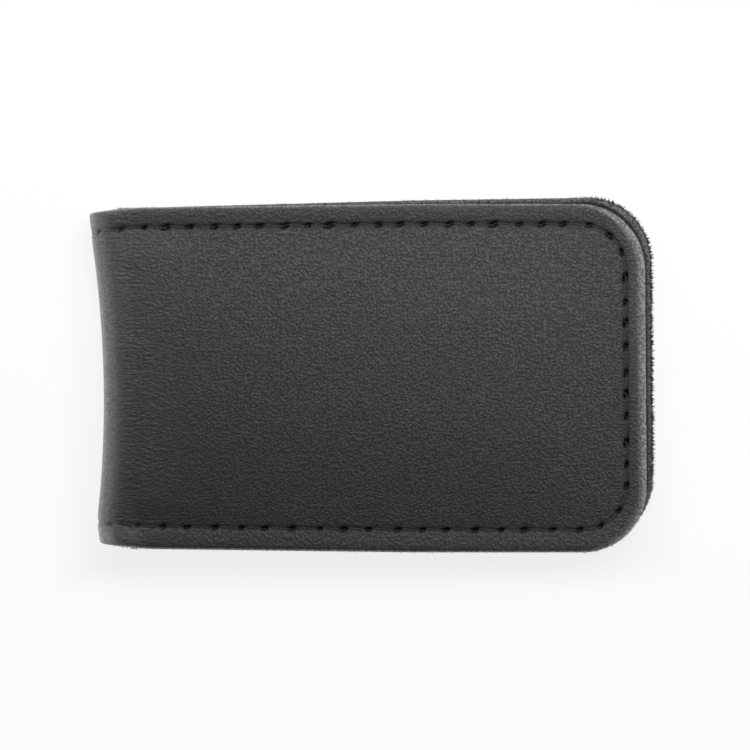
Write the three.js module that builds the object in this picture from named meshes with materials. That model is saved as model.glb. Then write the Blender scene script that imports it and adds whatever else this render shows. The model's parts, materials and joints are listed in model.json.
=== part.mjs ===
// Magnetic money clip: a leather strip with a suede lining, sewn together round two magnet
// boards and folded in half. Millimetres, +Z up. The clip lies closed on its back leaf, with
// the fold towards -X and the free ends towards +X. The origin is under the middle of the clip.
import * as THREE from "three";
import { mergeVertices } from "three/addons/utils/BufferGeometryUtils.js";

const { clamp, degToRad, lerp, smoothstep } = THREE.MathUtils;

// Outline of the folded strip
const LENGTH = 70; // from the fold to the free end of the back leaf
const LEAF_WIDTH = 43.4; // at the free end
const WAIST = 1.1; // each edge is drawn in this much at the fold
const WAIST_REACH = 20; // length over which the waist runs out
const CORNER_RADIUS = 8.1; // at the free end
const FRONT_SHORT = 0.8; // the front leaf ends this much before the back one
const SKEW_DEG = 0.43; // each leaf leans this much off square, to opposite sides

// Thicknesses and gaps
const LEATHER = 1.2;
const LINING = 0.9;
const CORE = 1; // magnets and the board that is flush with them
const PLY_GAP = 0.1; // glue line between plies
const CLOSED_GAP = 0.4; // between the two linings over the magnets
const LINING_SWELL = 0.5; // the lining's share of the bulge over the core

// Fold
const FOLD_BULGE = 0.3; // the loop swells this far beyond the flat seam
const SWEEP_RADIUS = 7; // hollow bend that leads from the leaf into the loop
const FOLD_SAG = 1.5; // the fold is drawn in this much at its middle
const HINGE_DEG = 45; // place of the two hinge lines on the loop, from its lowest and highest line
const HINGE_GAP = 0.1; // between leaf and spine pieces at a hinge line

// Bulge over the core
const FLAT_LEAD = 0.5; // flat leather between the fold and the bulge
const FOLD_RISE = 6; // length of the rise on the fold side
const SEAM_RISE = 5; // length of the rise on the seam sides

// Edge, seam and thread
const EDGE_ROUND = 0.9; // width of the rounded leather edge
const EDGE_DROP = 0.55; // the leather's face falls this far at the very edge
const SEAM_INSET = 2.5; // stitch line to edge
const FURROW_WIDTH = 1.1; // hollow that the stitches lie in
const FURROW_DEPTH = 0.35;
const LINING_FURROW_DEPTH = 0.3;
const STITCH_PITCH = 3.05;
const THREAD = 0.45; // diameter
const STITCH_DIP = 0.14; // the thread sinks this much at each needle hole
const THREAD_CLEARANCE = 0.03; // from the sunk thread to the walls of its furrow
const THREAD_HINGE_GAP = 0.6; // the needle thread is in its holes this far from a hinge line

// Magnets and boards
const MAGNET_DIAMETER = 8;
const MAGNET_CHAMFER = 0.2;
const MAGNET_RIM = 1.6; // board left between a magnet's window and the side of the board
const MAGNET_INSET = 16.5; // from the free end of the back leaf to the magnets' axis
const MAGNET_FIT = 0.2; // gap between magnet and window
const BOARD_MARGIN = 0.4; // from the edge of the bulge's flat top to the board
const BOARD_CORNER = 2;

// Heights above the surface that the clip lies on
const LEATHER_SWELL = CORE + PLY_GAP - LINING_SWELL;
const SEAM_Z = LEATHER + LEATHER_SWELL + PLY_GAP / 2; // where the two plies of the back leaf meet
const MIDDLE_Z = SEAM_Z + PLY_GAP / 2 + LINING + LINING_SWELL + CLOSED_GAP / 2;

// Loop of the fold, measured on the surface where the two plies meet
const HALF_GAP = MIDDLE_Z - SEAM_Z;
const LOOP_RADIUS = HALF_GAP + FOLD_BULGE;
const FOLD_RADIUS = LOOP_RADIUS + PLY_GAP / 2 + LEATHER;
const SWEEP_ANGLE = Math.acos((SWEEP_RADIUS + HALF_GAP) / (SWEEP_RADIUS + LOOP_RADIUS));
const SWEEP_REACH = (SWEEP_RADIUS + LOOP_RADIUS) * Math.sin(SWEEP_ANGLE);
const LOOP_X = -LENGTH / 2 + FOLD_RADIUS;
const HINGE_ANGLE = degToRad(HINGE_DEG);

// Places along and across the leaf
const RISE_X = LOOP_X + FOLD_SAG + SWEEP_REACH + FLAT_LEAD;
const PLATEAU_X = RISE_X + FOLD_RISE;
const RISE_INSET = SEAM_INSET + FURROW_WIDTH / 2;
const PLATEAU_INSET = RISE_INSET + SEAM_RISE;
const INNER_INSET = Math.max(PLATEAU_INSET, CORNER_RADIUS);
const BOARD_HALF_WIDTH = halfWidth(PLATEAU_X) - PLATEAU_INSET - BOARD_MARGIN;
const MAGNET_Y = BOARD_HALF_WIDTH - MAGNET_RIM - MAGNET_FIT - MAGNET_DIAMETER / 2;

// Facets
const LOOP_STEPS = 4;
const SPINE_STEPS = 6;
const SWEEP_STEPS = 2;
const FOLD_RISE_STEPS = 4;
const LEATHER_EDGE_STEPS = 2;
const LINING_EDGE_STEPS = 1;
const LEATHER_RISE_STEPS = 3;
const LINING_RISE_STEPS = 2;
const CORNER_STEPS = 7;
const END_STEPS = 3;
const STITCH_STEPS = 3;
const THREAD_SIDES = 4;
const MAGNET_SIDES = 28;
const BOARD_CURVE_STEPS = 10;

const BACK = { end: LENGTH / 2, up: -1 };
const FRONT = { end: LENGTH / 2 - FRONT_SHORT, up: 1 };

function halfWidth(x) {
  const out = 1 - clamp((x + LENGTH / 2) / WAIST_REACH, 0, 1);
  return LEAF_WIDTH / 2 - WAIST * out * out;
}

// Stations along the strip. A loop station is given by its angle from the lowest line of the
// loop, a sweep station by the turn that is still to come, and a flat station by its x.
function loopStation(angle) {
  const x = LOOP_X - LOOP_RADIUS * Math.sin(angle);
  return { loop: angle, x, halfWidth: halfWidth(x) };
}

function sweepStation(angle) {
  const x = LOOP_X + SWEEP_REACH - SWEEP_RADIUS * Math.sin(angle);
  return { sweep: angle, x, halfWidth: halfWidth(x) };
}

function flatStation(x) {
  return { x, halfWidth: halfWidth(x) };
}

// The point at a distance outside the surface where the plies meet. The lower half of the strip
// is worked out, and the upper half is its mirror image.
function stripPoint(station, y, offset, up) {
  const reach = station.halfWidth - EDGE_ROUND;
  const share = Math.min(1, Math.abs(y) / reach);
  const drawn = FOLD_SAG * (1 - share * share);
  let x = station.x;
  let z = -HALF_GAP;
  let normalX = 0;
  let normalZ = -1;
  if (station.loop !== undefined) {
    normalX = -Math.sin(station.loop);
    normalZ = -Math.cos(station.loop);
    x = LOOP_X + drawn + LOOP_RADIUS * normalX;
    z = LOOP_RADIUS * normalZ;
  } else if (station.sweep !== undefined) {
    normalX = Math.sin(station.sweep);
    normalZ = -Math.cos(station.sweep);
    x = LOOP_X + drawn + SWEEP_REACH - SWEEP_RADIUS * normalX;
    z = -HALF_GAP - SWEEP_RADIUS * (1 + normalZ);
  }
  x += offset * normalX;
  z += offset * normalZ;
  const facing = up > 0 ? -normalZ : normalZ;
  const lean = -facing * (x - LOOP_X) * Math.tan(degToRad(SKEW_DEG));
  return new THREE.Vector3(x, y + lean, MIDDLE_Z + (up > 0 ? -z : z));
}

// Stations of a leaf, from its hinge line to the end of its straight side
function leafStations(lastX, firstAngle) {
  const stations = [];
  for (let i = 0; i <= LOOP_STEPS; i++) {
    stations.push(loopStation(lerp(firstAngle, -SWEEP_ANGLE, i / LOOP_STEPS)));
  }
  for (let i = 1; i <= SWEEP_STEPS; i++) {
    stations.push(sweepStation(lerp(SWEEP_ANGLE, 0, i / SWEEP_STEPS)));
  }
  for (let i = 0; i <= FOLD_RISE_STEPS; i++) {
    stations.push(flatStation(lerp(RISE_X, PLATEAU_X, i / FOLD_RISE_STEPS)));
  }
  stations.push(flatStation(lastX));
  return stations;
}

// Line round a leaf at an inset from its edge, from one end of the hinge line to the other
function leafLine(end, inset, firstAngle) {
  const turn = Math.max(CORNER_RADIUS, inset);
  const cornerX = end - turn;
  const cornerY = halfWidth(cornerX) - turn;
  const line = leafStations(cornerX, firstAngle).map((station) => ({
    station,
    y: station.halfWidth - inset,
  }));
  for (let i = 1; i <= CORNER_STEPS; i++) {
    const angle = (i / CORNER_STEPS) * (Math.PI / 2);
    const x = cornerX + (turn - inset) * Math.sin(angle);
    const y = cornerY + (turn - inset) * Math.cos(angle);
    line.push({ station: flatStation(x), y });
  }
  const half = line.slice();
  for (let i = 1; i < END_STEPS; i++) {
    const y = lerp(cornerY, -cornerY, i / END_STEPS);
    line.push({ station: flatStation(end - inset), y });
  }
  half.reverse().forEach(({ station, y }) => line.push({ station, y: -y }));
  return line;
}

function swell(station, inset) {
  const flat = station.loop === undefined && station.sweep === undefined;
  const along = flat ? smoothstep(station.x, RISE_X, PLATEAU_X) : 0;
  return along * smoothstep(inset, RISE_INSET, PLATEAU_INSET);
}

// Rows of a ply, by their inset from the edge, with how far the shown face drops there: the
// rounded edge, the furrow of the seam and the rise to the flat field
function plyRows(edgeDrop, edgeSteps, furrowDepth, riseSteps) {
  const rows = [];
  for (let i = 0; i <= edgeSteps; i++) {
    const angle = (i / edgeSteps) * (Math.PI / 2);
    const inset = EDGE_ROUND * (1 - Math.cos(angle));
    rows.push({ inset, drop: edgeDrop * (1 - Math.sin(angle)) });
  }
  rows.push({ inset: SEAM_INSET - FURROW_WIDTH / 2, drop: 0 });
  rows.push({ inset: SEAM_INSET, drop: furrowDepth });
  for (let i = 0; i <= riseSteps; i++) {
    rows.push({ inset: lerp(RISE_INSET, PLATEAU_INSET, i / riseSteps), drop: 0 });
  }
  rows.push({ inset: INNER_INSET, drop: 0 });
  return rows;
}

// The two plies, with the offsets of the shown face and of the face towards the core
const leatherPly = {
  rows: plyRows(EDGE_DROP, LEATHER_EDGE_STEPS, FURROW_DEPTH, LEATHER_RISE_STEPS),
  shown: (bulge, drop) => PLY_GAP / 2 + LEATHER_SWELL * bulge + LEATHER - drop,
  inner: (bulge) => PLY_GAP / 2 + LEATHER_SWELL * bulge,
};

const liningPly = {
  rows: plyRows(0, LINING_EDGE_STEPS, LINING_FURROW_DEPTH, LINING_RISE_STEPS),
  shown: (bulge, drop) => -PLY_GAP / 2 - LINING_SWELL * bulge - LINING + drop,
  inner: (bulge) => -PLY_GAP / 2 - LINING_SWELL * bulge,
};

// Gathers triangles and turns them into one closed surface that faces out
class Skin {
  corners = [];

  triangle(a, b, c) {
    const area = b.clone().sub(a).cross(c.clone().sub(a)).length();
    if (area > 1e-6) this.corners.push(a, b, c);
  }

  sheet(grid) {
    for (let i = 0; i + 1 < grid.length; i++) {
      for (let j = 0; j + 1 < grid[i].length; j++) {
        this.triangle(grid[i][j], grid[i + 1][j], grid[i + 1][j + 1]);
        this.triangle(grid[i][j], grid[i + 1][j + 1], grid[i][j + 1]);
      }
    }
  }

  geometry() {
    const raw = new THREE.BufferGeometry().setFromPoints(this.corners);
    return facingOut(mergeVertices(raw, 1e-4));
  }
}

function facingOut(geometry) {
  const index = geometry.index.array;
  const at = geometry.attributes.position;
  const [a, b, c] = [new THREE.Vector3(), new THREE.Vector3(), new THREE.Vector3()];
  let volume = 0;
  for (let i = 0; i < index.length; i += 3) {
    a.fromBufferAttribute(at, index[i]);
    b.fromBufferAttribute(at, index[i + 1]);
    c.fromBufferAttribute(at, index[i + 2]);
    volume += a.dot(b.cross(c));
  }
  if (volume < 0) index.reverse();
  geometry.computeVertexNormals();
  return geometry;
}

// Leaf of a ply: rows of insets round the free edges, then a plain field inside them
function leafGeometry(ply, leaf) {
  const firstAngle = HINGE_ANGLE - HINGE_GAP / 2 / LOOP_RADIUS;
  const ringFace = (offset) =>
    ply.rows.map(({ inset, drop }) =>
      leafLine(leaf.end, inset, firstAngle).map(({ station, y }) =>
        stripPoint(station, y, offset(swell(station, inset), drop), leaf.up),
      ),
    );
  const fieldStations = leafStations(leaf.end - INNER_INSET, firstAngle);
  const fieldFace = (offset) =>
    Array.from({ length: END_STEPS + 1 }, (_, i) =>
      fieldStations.map((station) => {
        const y = (station.halfWidth - INNER_INSET) * lerp(1, -1, i / END_STEPS);
        return stripPoint(station, y, offset(swell(station, INNER_INSET), 0), leaf.up);
      }),
    );
  const shown = ringFace(ply.shown);
  const inner = ringFace(ply.inner);
  const shownField = fieldFace(ply.shown);
  const innerField = fieldFace(ply.inner);
  const column = (grid, j) => grid.map((row) => row.at(j));
  const skin = new Skin();
  skin.sheet(shown);
  skin.sheet(inner.slice().reverse());
  skin.sheet([inner[0], shown[0]]);
  skin.sheet([column(shown, 0), column(inner, 0)]);
  skin.sheet([column(inner, -1), column(shown, -1)]);
  skin.sheet(shownField);
  skin.sheet(innerField.slice().reverse());
  skin.sheet([column(shownField, 0), column(innerField, 0)]);
  return skin.geometry();
}

// Spine of a ply: the part of the loop between the two hinge lines
function spineGeometry(ply) {
  const gap = HINGE_GAP / 2 / LOOP_RADIUS;
  const stations = Array.from({ length: SPINE_STEPS + 1 }, (_, i) =>
    loopStation(lerp(HINGE_ANGLE + gap, Math.PI - HINGE_ANGLE - gap, i / SPINE_STEPS)),
  );
  const across = ply.rows.map(({ inset, drop }) => ({ inset, drop, share: 1 }));
  for (let i = 1; i < END_STEPS; i++) {
    across.push({ inset: INNER_INSET, drop: 0, share: lerp(1, -1, i / END_STEPS) });
  }
  ply.rows
    .slice()
    .reverse()
    .forEach(({ inset, drop }) => across.push({ inset, drop, share: -1 }));
  const face = (offset) =>
    across.map(({ inset, drop, share }) =>
      stations.map((station) =>
        stripPoint(station, (station.halfWidth - inset) * share, offset(0, drop), -1),
      ),
    );
  const shown = face(ply.shown);
  const inner = face(ply.inner);
  const column = (grid, j) => grid.map((row) => row.at(j));
  const skin = new Skin();
  skin.sheet(shown);
  skin.sheet(inner.slice().reverse());
  skin.sheet([inner[0], shown[0]]);
  skin.sheet([shown.at(-1), inner.at(-1)]);
  skin.sheet([column(shown, 0), column(inner, 0)]);
  skin.sheet([column(inner, -1), column(shown, -1)]);
  return skin.geometry();
}

// Thread along a stitch line: it lies on the surface in each stitch and sinks at each needle hole
function threadGeometry(placeAt, length) {
  const stitches = Math.max(1, Math.round(length / STITCH_PITCH));
  const steps = stitches * STITCH_STEPS;
  const points = Array.from({ length: steps + 1 }, (_, i) => {
    const hole = i % STITCH_STEPS === 0;
    return placeAt(i / steps, hole ? -STITCH_DIP : 0);
  });
  const path = new THREE.CatmullRomCurve3(points, false, "centripetal");
  const section = new THREE.Shape();
  for (let i = 0; i < THREAD_SIDES; i++) {
    const angle = ((i + 0.5) / THREAD_SIDES) * Math.PI * 2;
    const x = (THREAD / 2) * Math.cos(angle);
    const y = (THREAD / 2) * Math.sin(angle);
    if (i === 0) section.moveTo(x, y);
    else section.lineTo(x, y);
  }
  section.closePath();
  const tube = new THREE.ExtrudeGeometry(section, { extrudePath: path, steps });
  tube.deleteAttribute("uv");
  tube.deleteAttribute("normal");
  return facingOut(mergeVertices(tube, 1e-4));
}

// Height of the thread axis off the surface where the plies meet, for the needle thread on the
// leather side and the bobbin thread on the lining side. It clears its furrow where it is sunk.
function threadSeat(furrowDepth) {
  const wallSlope = Math.atan2(FURROW_WIDTH / 2, furrowDepth);
  return (THREAD / 2 + THREAD_CLEARANCE) / Math.sin(wallSlope) + STITCH_DIP - furrowDepth;
}

const needleHeight = (dip) => PLY_GAP / 2 + LEATHER + threadSeat(FURROW_DEPTH) + dip;
const bobbinHeight = (dip) => -(PLY_GAP / 2 + LINING + threadSeat(LINING_FURROW_DEPTH) + dip);

function leafThread(height, leaf, hingeGap) {
  const away = hingeGap / (LOOP_RADIUS + height(0));
  const line = leafLine(leaf.end, SEAM_INSET, HINGE_ANGLE - away);
  const marks = [0];
  for (let i = 1; i < line.length; i++) {
    const from = stripPoint(line[i - 1].station, line[i - 1].y, height(0), leaf.up);
    const to = stripPoint(line[i].station, line[i].y, height(0), leaf.up);
    marks.push(marks[i - 1] + from.distanceTo(to));
  }
  const length = marks.at(-1);
  const placeAt = (share, dip) => {
    const mark = share * length;
    const i = Math.max(1, marks.findIndex((m) => m >= mark - 1e-9));
    const part = (mark - marks[i - 1]) / (marks[i] - marks[i - 1]);
    const from = stripPoint(line[i - 1].station, line[i - 1].y, height(dip), leaf.up);
    const to = stripPoint(line[i].station, line[i].y, height(dip), leaf.up);
    return from.lerp(to, part);
  };
  return threadGeometry(placeAt, length);
}

function spineThread(height, side, hingeGap) {
  const radius = LOOP_RADIUS + height(0);
  const first = HINGE_ANGLE + hingeGap / radius;
  const last = Math.PI - first;
  const placeAt = (share, dip) => {
    const station = loopStation(lerp(first, last, share));
    return stripPoint(station, side * (station.halfWidth - SEAM_INSET), height(dip), -1);
  };
  return threadGeometry(placeAt, radius * (last - first));
}

// Board of a leaf, with a round window for each magnet
function boardGeometry(leaf, magnetX, magnetYs) {
  const left = PLATEAU_X + BOARD_MARGIN - LOOP_X;
  const right = leaf.end - PLATEAU_INSET - BOARD_MARGIN - LOOP_X;
  const top = BOARD_HALF_WIDTH;
  const outline = new THREE.Shape();
  outline.absarc(right - BOARD_CORNER, top - BOARD_CORNER, BOARD_CORNER, 0, Math.PI / 2);
  outline.absarc(left + BOARD_CORNER, top - BOARD_CORNER, BOARD_CORNER, Math.PI / 2, Math.PI);
  outline.absarc(left + BOARD_CORNER, BOARD_CORNER - top, BOARD_CORNER, Math.PI, Math.PI * 1.5);
  outline.absarc(right - BOARD_CORNER, BOARD_CORNER - top, BOARD_CORNER, Math.PI * 1.5, Math.PI * 2);
  for (const y of magnetYs) {
    const window = new THREE.Path();
    window.absarc(magnetX, y, MAGNET_DIAMETER / 2 + MAGNET_FIT, 0, Math.PI * 2, true);
    outline.holes.push(window);
  }
  const board = new THREE.ExtrudeGeometry(outline, {
    depth: CORE,
    bevelEnabled: false,
    curveSegments: BOARD_CURVE_STEPS,
  });
  return board.translate(0, 0, -CORE / 2);
}

function magnetGeometry() {
  const radius = MAGNET_DIAMETER / 2;
  const half = CORE / 2;
  const profile = [
    new THREE.Vector2(0, -half),
    new THREE.Vector2(radius - MAGNET_CHAMFER, -half),
    new THREE.Vector2(radius, MAGNET_CHAMFER - half),
    new THREE.Vector2(radius, half - MAGNET_CHAMFER),
    new THREE.Vector2(radius - MAGNET_CHAMFER, half),
    new THREE.Vector2(0, half),
  ];
  return new THREE.LatheGeometry(profile, MAGNET_SIDES).rotateX(Math.PI / 2);
}

const paint = (color, roughness, metalness) => () =>
  new THREE.MeshStandardMaterial({ color, roughness, metalness });
const leatherPaint = paint(0x1c1b1c, 0.55, 0);
const suedePaint = paint(0x3a3b3d, 0.95, 0);
const boardPaint = paint(0x8a7358, 0.9, 0);
const magnetPaint = paint(0xc2c3c4, 0.3, 1);
const threadPaint = paint(0x0e0e0f, 0.8, 0);

const clip = new THREE.Group();

function add(name, geometry, material, parent = clip) {
  const mesh = new THREE.Mesh(geometry, material());
  mesh.name = name;
  parent.add(mesh);
  return mesh;
}

for (const [side, leaf] of [["back", BACK], ["front", FRONT]]) {
  add(`outer_leather_${side}`, leafGeometry(leatherPly, leaf), leatherPaint);
  add(`lining_${side}`, leafGeometry(liningPly, leaf), suedePaint);
  add(`needle_thread_${side}`, leafThread(needleHeight, leaf, THREAD_HINGE_GAP), threadPaint);
  add(`bobbin_thread_${side}`, leafThread(bobbinHeight, leaf, HINGE_GAP), threadPaint);

  // The boards and magnets lie in a frame that leans with their leaf
  const core = new THREE.Group();
  const coreOffset = HALF_GAP + PLY_GAP / 2 - LINING_SWELL + CORE / 2;
  core.position.set(LOOP_X, 0, MIDDLE_Z + leaf.up * coreOffset);
  core.rotation.z = -leaf.up * degToRad(SKEW_DEG);
  clip.add(core);
  const magnetX = BACK.end - MAGNET_INSET - LOOP_X;
  const magnetYs = [MAGNET_Y, -MAGNET_Y];
  add(`stiffener_${side}`, boardGeometry(leaf, magnetX, magnetYs), boardPaint, core);
  magnetYs.forEach((y, i) => {
    const magnet = add(`magnet_${side}_${i + 1}`, magnetGeometry(), magnetPaint, core);
    magnet.position.set(magnetX, y, 0);
  });
}

add("outer_leather_spine", spineGeometry(leatherPly), leatherPaint);
add("lining_spine", spineGeometry(liningPly), suedePaint);
for (const [edge, side] of [["upper", 1], ["lower", -1]]) {
  const needle = spineThread(needleHeight, side, THREAD_HINGE_GAP);
  const bobbin = spineThread(bobbinHeight, side, HINGE_GAP);
  add(`needle_thread_spine_${edge}`, needle, threadPaint);
  add(`bobbin_thread_spine_${edge}`, bobbin, threadPaint);
}

export default clip;
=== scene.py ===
import json
import math

import bmesh
import bpy
import numpy as np
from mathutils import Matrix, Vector


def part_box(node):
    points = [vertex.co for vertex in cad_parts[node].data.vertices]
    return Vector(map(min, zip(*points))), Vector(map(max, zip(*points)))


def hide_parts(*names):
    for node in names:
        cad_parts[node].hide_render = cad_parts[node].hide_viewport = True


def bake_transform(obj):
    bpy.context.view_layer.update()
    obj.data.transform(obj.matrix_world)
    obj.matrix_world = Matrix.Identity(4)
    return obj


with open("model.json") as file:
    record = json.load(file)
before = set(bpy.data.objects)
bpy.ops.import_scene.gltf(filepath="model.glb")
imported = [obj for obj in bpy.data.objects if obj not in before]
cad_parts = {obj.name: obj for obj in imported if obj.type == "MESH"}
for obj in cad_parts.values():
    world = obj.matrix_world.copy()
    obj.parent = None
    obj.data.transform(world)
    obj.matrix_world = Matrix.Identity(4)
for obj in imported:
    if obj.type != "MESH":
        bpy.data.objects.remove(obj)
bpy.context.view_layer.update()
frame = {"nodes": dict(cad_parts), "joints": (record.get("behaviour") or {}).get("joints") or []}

# Magnets
# Each leaf holds two flat discs of pressed magnet alloy, plated with bright nickel. They lie side
# by side in round windows of the board and pull the leaves together through both linings.
MM = 0.001
NICKEL = (0.56, 0.55, 0.52, 1)
CLOUDING = 300.0
SCUFFING = 1400.0


class Wire:
    """An output of a node. Arithmetic on wires adds Math nodes to the tree that they lie in."""

    def __init__(self, socket):
        self.socket = socket

    @classmethod
    def of(cls, tree, kind, settings=None, inputs=None, output=0):
        """The output of a new node, made from its type, its settings and what goes into it."""
        node = tree.nodes.new(kind)
        for name, value in (settings or {}).items():
            setattr(node, name, value)
        plug(node, inputs or {})
        return cls(node.outputs[output])

    def math(self, operation, *terms):
        tree = self.socket.id_data
        return Wire.of(tree, "ShaderNodeMath", {"operation": operation}, dict(enumerate(terms)))

    def __add__(self, other):
        return self.math("ADD", self, other)

    def __sub__(self, other):
        return self.math("SUBTRACT", self, other)

    def __rsub__(self, other):
        return self.math("SUBTRACT", other, self)

    def __mul__(self, other):
        return self.math("MULTIPLY", self, other)

    def __truediv__(self, other):
        return self.math("DIVIDE", self, other)

    def __pow__(self, other):
        return self.math("POWER", self, other)

    __radd__ = __add__
    __rmul__ = __mul__


def plug(node, inputs):
    for key, value in inputs.items():
        socket = node.inputs[key]
        if isinstance(value, Wire):
            socket.id_data.links.new(value.socket, socket)
        else:
            socket.default_value = value


def new_finish(name):
    """A material with its node tree and its main shader."""
    material = bpy.data.materials.new(name)
    material.use_nodes = True
    return material, material.node_tree, material.node_tree.nodes["Principled BSDF"]


def noise(tree, place, scale, detail=2.0, roughness=0.5):
    inputs = {"Vector": place, "Scale": scale, "Detail": detail, "Roughness": roughness}
    return Wire.of(tree, "ShaderNodeTexNoise", None, inputs, "Fac")


def ease(tree, value, low, high):
    """0 below low, 1 above high, and a smooth step between them."""
    inputs = {"Value": value, "From Min": low, "From Max": high}
    return Wire.of(tree, "ShaderNodeMapRange", {"interpolation_type": "SMOOTHSTEP"}, inputs)


def mix_colour(tree, share, first, second):
    inputs = {0: share, 6: first, 7: second}
    return Wire.of(tree, "ShaderNodeMix", {"data_type": "RGBA"}, inputs, 2)


def bump(tree, height_mm):
    """The surface normal with a relief whose height is in millimetres."""
    inputs = {"Strength": 1.0, "Distance": MM, "Height": height_mm}
    return Wire.of(tree, "ShaderNodeBump", None, inputs)


def object_place(tree):
    return Wire.of(tree, "ShaderNodeTexCoord", None, None, "Object")


def nickel_plate():
    material, tree, shader = new_finish("nickel_plate")
    place = object_place(tree)
    clouding = noise(tree, place, CLOUDING, 3.0)
    scuffs = ease(tree, noise(tree, place, SCUFFING, 4.0, 0.7), 0.52, 0.7)
    plug(shader, {
        "Base Color": NICKEL,
        "Metallic": 1.0,
        "Roughness": 0.2 + 0.1 * clouding + 0.2 * scuffs,
        "Normal": bump(tree, 0.004 * scuffs),
    })
    return material


def dress(node, material):
    """A frame part keeps its shape and gets a finish."""
    part = frame["nodes"][node]
    if not part.material_slots:
        part.data.materials.append(None)
    for slot in part.material_slots:
        slot.material = material


nickel = nickel_plate()
for leaf in ("back", "front"):
    for number in (1, 2):
        dress(f"magnet_{leaf}_{number}", nickel)

# Stiffening boards
# A board of bonded leather fibre in each leaf, as thick as the magnets and die cut with a window
# for each of them. It is glued between the leather and the lining and keeps the leaf flat.
BOARD_BROWN = (0.21, 0.135, 0.08, 1)
BOARD_PALE = (0.36, 0.26, 0.17, 1)
FLECKING = 1800.0
MOTTLING = 260.0


def bonded_board():
    material, tree, shader = new_finish("bonded_board")
    place = object_place(tree)
    flecks = ease(tree, noise(tree, place, FLECKING, 5.0, 0.65), 0.45, 0.68)
    mottle = noise(tree, place, MOTTLING, 3.0)
    plug(shader, {
        "Base Color": mix_colour(tree, flecks * 0.6 + mottle * 0.3, BOARD_BROWN, BOARD_PALE),
        "Roughness": 0.95 - 0.12 * flecks,
        "Normal": bump(tree, 0.03 * flecks + 0.04 * mottle),
    })
    return material


board = bonded_board()
for leaf in ("back", "front"):
    dress(f"stiffener_{leaf}", board)

# Outer leather
# One strip of black full-grain leather, folded in half round a loose loop. Its edge is skived and
# rolled, the seam draws it down into a furrow, and it swells over the boards that are glued to it.
LENGTH = 70.0
LEAF_WIDTH = 43.4
WAIST = 0.8
WAIST_REACH = 7.0
TAPER = 0.5
TAPER_REACH = 40.0
CORNER_RADIUS = 8.1
SKEW = math.radians(0.43)
LEATHER = 1.2
LINING = 0.9
PLY_GAP = 0.1
LEATHER_SWELL = 0.6
LINING_SWELL = 0.5
SWEEP_RADIUS = 7.0

hinges = [Vector(joint["pos_m"]) / MM for joint in frame["joints"]]
MIDDLE_Z = (hinges[0].z + hinges[1].z) / 2
FOLD_RADIUS = (hinges[1].z - hinges[0].z) / math.sqrt(2)
LOOP_X = hinges[0].x + FOLD_RADIUS / math.sqrt(2)
LOOP_RADIUS = FOLD_RADIUS - LEATHER - PLY_GAP / 2
HALF_GAP = MIDDLE_Z - LEATHER - LEATHER_SWELL - PLY_GAP / 2
SWEEP_ANGLE = math.acos((SWEEP_RADIUS + HALF_GAP) / (SWEEP_RADIUS + LOOP_RADIUS))
SWEEP_REACH = (SWEEP_RADIUS + LOOP_RADIUS) * math.sin(SWEEP_ANGLE)
FLAT_X = LOOP_X + SWEEP_REACH
LEAF_UP = {"back": -1, "front": 1}
LEAF_END = {leaf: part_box(f"outer_leather_{leaf}")[1].x / MM for leaf in LEAF_UP}


def smooth(value, low, high):
    share = np.clip((value - low) / (high - low), 0, 1)
    return share * share * (3 - 2 * share)


def half_width(x):
    """Half the width of a leaf, which narrows towards a waist at the fold."""
    waist = 1 - np.clip((x + LENGTH / 2) / WAIST_REACH, 0, 1)
    taper = 1 - np.clip((x + LENGTH / 2) / TAPER_REACH, 0, 1)
    return LEAF_WIDTH / 2 - WAIST * waist**2 - TAPER * taper


SEAM_INSET = 2.5
LOWER_SIDE = (11.0, 16.0)
LOWER_SEAM_SHIFT = 0.3
LOWER_SHIFT_INSET = 3.1
EDGE_ROUND = 0.42
FOLD_SAG = 1.5
FOLD_SLANT = 0.014
FOLD_CORNER = 0.45
FOLD_CORNER_REACH = 3.5
LOWER_CORNER = 0.45
LOWER_CORNER_REACH = 2.0


def lower_side(y):
    """1 along the lower long side, where the seam comes back to the fold, and 0 elsewhere."""
    return smooth(-y, *LOWER_SIDE)


class Strip:
    """Places on a leaf of the folded strip, as arrays of one shape: the curve that the plies meet
    on (x, z, and the angle that it is turned by), how much of the fold's sag they follow, y, and
    the inset from the edge."""

    def __init__(self, x, z, turn, pull, y, inset):
        self.x, self.z, self.turn, self.pull, self.y, self.inset = np.broadcast_arrays(
            x, z, turn, pull, y, inset
        )

    def points(self, offset, up):
        reach = half_width(self.x) - EDGE_ROUND
        share = np.minimum(1, np.abs(self.y) / reach)
        edge = reach + EDGE_ROUND
        corner = FOLD_CORNER * smooth(np.abs(self.y), reach - FOLD_CORNER_REACH, edge)
        corner = corner + LOWER_CORNER * smooth(-self.y, reach - LOWER_CORNER_REACH, edge)
        drawn = (FOLD_SAG * (1 - share * share) + corner - FOLD_SLANT * self.y) * self.pull
        normal_x, normal_z = -np.sin(self.turn), -np.cos(self.turn)
        x = self.x + drawn + offset * normal_x
        z = self.z + offset * normal_z
        beside = np.minimum(self.inset / SEAM_INSET, 1)
        beside = beside * (1 - smooth(self.inset, LOWER_SHIFT_INSET, CORNER_RADIUS))
        y = self.y + LOWER_SEAM_SHIFT * lower_side(self.y) * beside
        y = y - up * np.cos(self.turn) * (x - LOOP_X) * math.tan(SKEW)
        return np.stack([x, y, MIDDLE_Z - up * z], axis=-1)


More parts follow.
